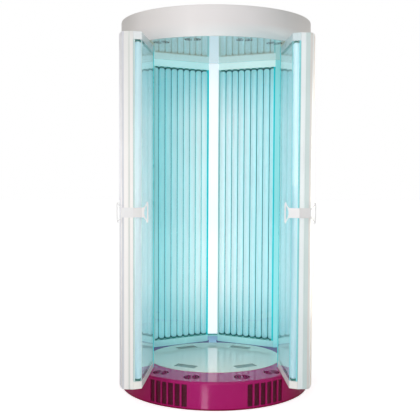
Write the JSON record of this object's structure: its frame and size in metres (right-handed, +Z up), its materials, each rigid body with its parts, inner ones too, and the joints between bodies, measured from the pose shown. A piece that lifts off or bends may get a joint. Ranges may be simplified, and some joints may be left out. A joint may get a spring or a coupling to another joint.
{
  "type": "vertical tanning booth",
  "caption": "Round stand-up tanning booth with a coloured base drum, flat canopy, lamp-lined rear wall and a pair of curved lamp-lined doors on vertical hinges, doors open.",
  "frame": {"origin": "on the floor under the middle of the booth", "axes": "+Z up along the booth's height, the open front faces -Y, +X to the right seen from the front"},
  "size_m": [1.15, 1.2966, 2.21],
  "materials": {
    "white_enamel": "satin white enamel",
    "magenta_shell": "high gloss",
    "mint_floor": "gloss",
    "mirror_ceiling": "bright, slightly soft reflection",
    "dark_mesh": "perforated sheet",
    "steel": "plain sheet",
    "black_plastic": "matte",
    "bright_reflector": "bright sheet",
    "lamp_glass": "coated lamp tube",
    "clear_acrylic": "clear sheet with tinted edges",
    "white_profile": "satin",
    "handle_white": "satin"
  },
  "bodies": {
    "booth": {"base_pan": "steel", "base_fan_frame": "steel", "exhaust_fan_frame": "steel", "ballast_tray_left": "steel", "ballast_tray_right": "steel", "base_drum": "magenta_shell", "vent_grille_left": "dark_mesh", "vent_grille_right": "dark_mesh", "floor_plate": "mint_floor", "canopy_hoop": "white_enamel", "canopy_lid": "white_enamel", "rear_shell": "white_enamel", "side_panel_left": "white_enamel", "side_panel_right": "white_enamel", "ceiling_plate": "mirror_ceiling", "centre_post": "white_profile", "rear_bottom_rail_left": "white_profile", "rear_top_rail_left": "white_profile", "rear_acrylic_left": "clear_acrylic", "rear_reflector_left": "bright_reflector", "rear_lamp_left_1": "lamp_glass", "rear_lamp_left_2": "lamp_glass", "rear_lamp_left_3": "lamp_glass", "rear_lamp_left_4": "lamp_glass", "rear_lamp_left_5": "lamp_glass", "rear_lamp_left_6": "lamp_glass", "rear_lamp_left_7": "lamp_glass", "rear_lamp_left_8": "lamp_glass", "rear_lamp_left_9": "lamp_glass", "rear_bottom_rail_right": "white_profile", "rear_top_rail_right": "white_profile", "rear_acrylic_right": "clear_acrylic", "rear_reflector_right": "bright_reflector", "rear_lamp_right_1": "lamp_glass", "rear_lamp_right_2": "lamp_glass", "rear_lamp_right_3": "lamp_glass", "rear_lamp_right_4": "lamp_glass", "rear_lamp_right_5": "lamp_glass", "rear_lamp_right_6": "lamp_glass", "rear_lamp_right_7": "lamp_glass", "rear_lamp_right_8": "lamp_glass", "rear_lamp_right_9": "lamp_glass"},
    "left_door": {"door_skin_left": "white_enamel", "door_stile_left": "white_profile", "door_edge_post_left": "white_profile", "door_bottom_rail_left": "white_profile", "door_top_rail_left": "white_profile", "door_acrylic_left": "clear_acrylic", "door_lamp_tray_left": "lamp_glass", "door_handle_left": "handle_white"},
    "right_door": {"door_skin_right": "white_enamel", "door_stile_right": "white_profile", "door_edge_post_right": "white_profile", "door_bottom_rail_right": "white_profile", "door_top_rail_right": "white_profile", "door_acrylic_right": "clear_acrylic", "door_lamp_tray_right": "lamp_glass", "door_handle_right": "handle_white"},
    "base_fan_wheel": {"base_fan_rotor": "black_plastic"},
    "exhaust_fan_wheel": {"exhaust_fan_rotor": "black_plastic"}
  },
  "joints": [
    {"name": "left_door_hinge", "type": "hinge", "parent": "booth", "child": "left_door", "pos_m": [-0.40768, -0.26273, 0], "axis": [0, 0, 1], "range_deg": [-20, 67.4]},
    {"name": "right_door_hinge", "type": "hinge", "parent": "booth", "child": "right_door", "pos_m": [0.40768, -0.26273, 0], "axis": [0, 0, 1], "range_deg": [-63.8, 20]},
    {"name": "base_fan_spin", "type": "hinge", "parent": "booth", "child": "base_fan_wheel", "pos_m": [0, 0, 0], "axis": [0, 0, 1], "continuous": true},
    {"name": "exhaust_fan_spin", "type": "hinge", "parent": "booth", "child": "exhaust_fan_wheel", "pos_m": [0, 0, 0], "axis": [0, 0, 1], "continuous": true}
  ]
}
